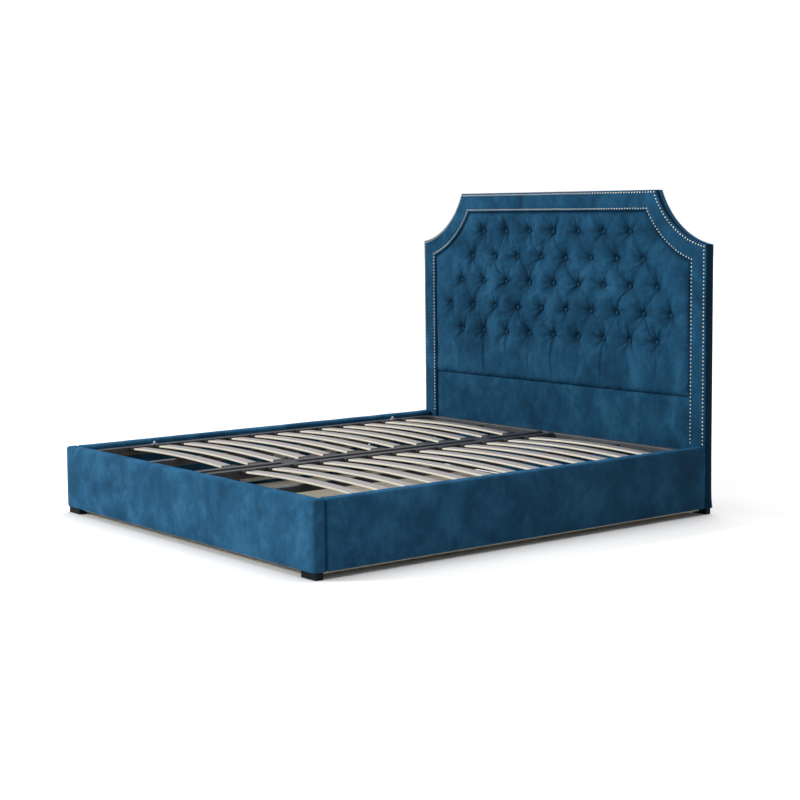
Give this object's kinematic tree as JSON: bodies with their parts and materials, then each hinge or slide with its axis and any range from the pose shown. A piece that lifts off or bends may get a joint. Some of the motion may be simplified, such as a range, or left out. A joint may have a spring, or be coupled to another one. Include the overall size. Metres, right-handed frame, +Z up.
{
  "type": "upholstered headboard bed",
  "caption": "Low velvet storage bed with a tall tufted, nail-trimmed headboard with scooped corners and a slatted platform that lifts on gas struts.",
  "frame": {"origin": "on the floor under the centre of the whole bed's bounding box, headboard included", "axes": "+X to the right side seen from the foot end, +Y from the foot end to the headboard, +Z up"},
  "size_m": [1.94, 2.12, 1.41],
  "materials": {
    "velvet": "matte",
    "timber": "satin",
    "floor_board": "satin",
    "backing_cloth": "matte",
    "nail_metal": "polished",
    "foot_block": "matte",
    "frame_steel": "satin",
    "bracket_steel": "satin",
    "slat_birch": "satin",
    "holder_plastic": "matte",
    "guide_plastic": "satin",
    "strut_black": "satin",
    "rod_chrome": "polished"
  },
  "bodies": {
    "base": {"headboard_core": "timber", "headboard_back_lining": "backing_cloth", "headboard_border": "velvet", "headboard_tufted_pad": "velvet", "headboard_lower_pad": "velvet", "nail_trim_outer": "nail_metal", "nail_trim_inner": "nail_metal", "foot_panel_core": "timber", "foot_panel_cover": "velvet", "side_rail_left_core": "timber", "side_rail_left_cover": "velvet", "side_rail_right_core": "timber", "side_rail_right_cover": "velvet", "foot_front_left": "foot_block", "foot_front_right": "foot_block", "foot_rear_left": "foot_block", "foot_rear_right": "foot_block", "storage_floor_left": "floor_board", "storage_floor_right": "floor_board", "floor_runner": "timber", "rest_ledge_foot": "timber", "lift_base_plate_left": "bracket_steel", "lift_base_plate_right": "bracket_steel"},
    "platform": {"platform_frame": "frame_steel", "slat_left_01": "slat_birch", "slat_left_02": "slat_birch", "slat_left_03": "slat_birch", "slat_left_04": "slat_birch", "slat_left_05": "slat_birch", "slat_left_06": "slat_birch", "slat_left_07": "slat_birch", "slat_left_08": "slat_birch", "slat_left_09": "slat_birch", "slat_left_10": "slat_birch", "slat_left_11": "slat_birch", "slat_left_12": "slat_birch", "slat_left_13": "slat_birch", "slat_right_01": "slat_birch", "slat_right_02": "slat_birch", "slat_right_03": "slat_birch", "slat_right_04": "slat_birch", "slat_right_05": "slat_birch", "slat_right_06": "slat_birch", "slat_right_07": "slat_birch", "slat_right_08": "slat_birch", "slat_right_09": "slat_birch", "slat_right_10": "slat_birch", "slat_right_11": "slat_birch", "slat_right_12": "slat_birch", "slat_right_13": "slat_birch", "lift_top_bracket_left": "bracket_steel", "lift_top_bracket_right": "bracket_steel"},
    "rear_arm_left": {"lift_rear_arm_left": "bracket_steel"},
    "front_arm_left": {"lift_front_arm_left": "bracket_steel"},
    "strut_cylinder_left": {"gas_cylinder_left": "strut_black"},
    "strut_rod_left": {"gas_rod_left": "rod_chrome"},
    "rear_arm_right": {"lift_rear_arm_right": "bracket_steel"},
    "front_arm_right": {"lift_front_arm_right": "bracket_steel"},
    "strut_cylinder_right": {"gas_cylinder_right": "strut_black"},
    "strut_rod_right": {"gas_rod_right": "rod_chrome"}
  },
  "joints": [
    {"name": "lift", "type": "hinge", "parent": "base", "child": "rear_arm_right", "pos_m": [0, 0.0874, 0.166], "axis": [1, 0, 0], "range_deg": [0, 62.1]},
    {"name": "lift_arm_left", "type": "hinge", "parent": "base", "child": "rear_arm_left", "pos_m": [0, 0.0874, 0.166], "axis": [1, 0, 0], "range_deg": [0, 62.2]},
    {"name": "platform_tilt", "type": "hinge", "parent": "rear_arm_right", "child": "platform", "pos_m": [0, 0.537, 0.2211], "axis": [-1, 0, 0], "range_deg": [0, 92.08]},
    {"name": "front_arm_left", "type": "hinge", "parent": "base", "child": "front_arm_left", "pos_m": [0, -0.1396, 0.0748], "axis": [1, 0, 0], "range_deg": [0, 54.31]},
    {"name": "strut_swing_left", "type": "hinge", "parent": "base", "child": "strut_cylinder_left", "pos_m": [0, 0.3442, 0.063], "axis": [1, 0, 0], "range_deg": [0, 65.8]},
    {"name": "strut_slide_left", "type": "slide", "parent": "strut_cylinder_left", "child": "strut_rod_left", "axis": [0, 0.9193, 0.3936], "range_m": [0, 0.0904]},
    {"name": "front_arm_right", "type": "hinge", "parent": "base", "child": "front_arm_right", "pos_m": [0, -0.1396, 0.0748], "axis": [1, 0, 0], "range_deg": [0, 54.31]},
    {"name": "strut_swing_right", "type": "hinge", "parent": "base", "child": "strut_cylinder_right", "pos_m": [0, 0.3442, 0.063], "axis": [1, 0, 0], "range_deg": [0, 65.8]},
    {"name": "strut_slide_right", "type": "slide", "parent": "strut_cylinder_right", "child": "strut_rod_right", "axis": [0, 0.9193, 0.3936], "range_m": [0, 0.0904]}
  ],
  "couplings": [
    {"joint": "lift_arm_left", "follows": "lift", "ratio": 1},
    {"joint": "platform_tilt", "follows": "lift", "ratio": 1.4795},
    {"joint": "front_arm_left", "follows": "lift", "ratio": 0.8714},
    {"joint": "strut_swing_left", "follows": "lift", "ratio": 1.0563},
    {"joint": "strut_slide_left", "follows": "lift", "m_per_rad": 0.083},
    {"joint": "front_arm_right", "follows": "lift", "ratio": 0.8714},
    {"joint": "strut_swing_right", "follows": "lift", "ratio": 1.0563},
    {"joint": "strut_slide_right", "follows": "lift", "m_per_rad": 0.083}
  ]
}
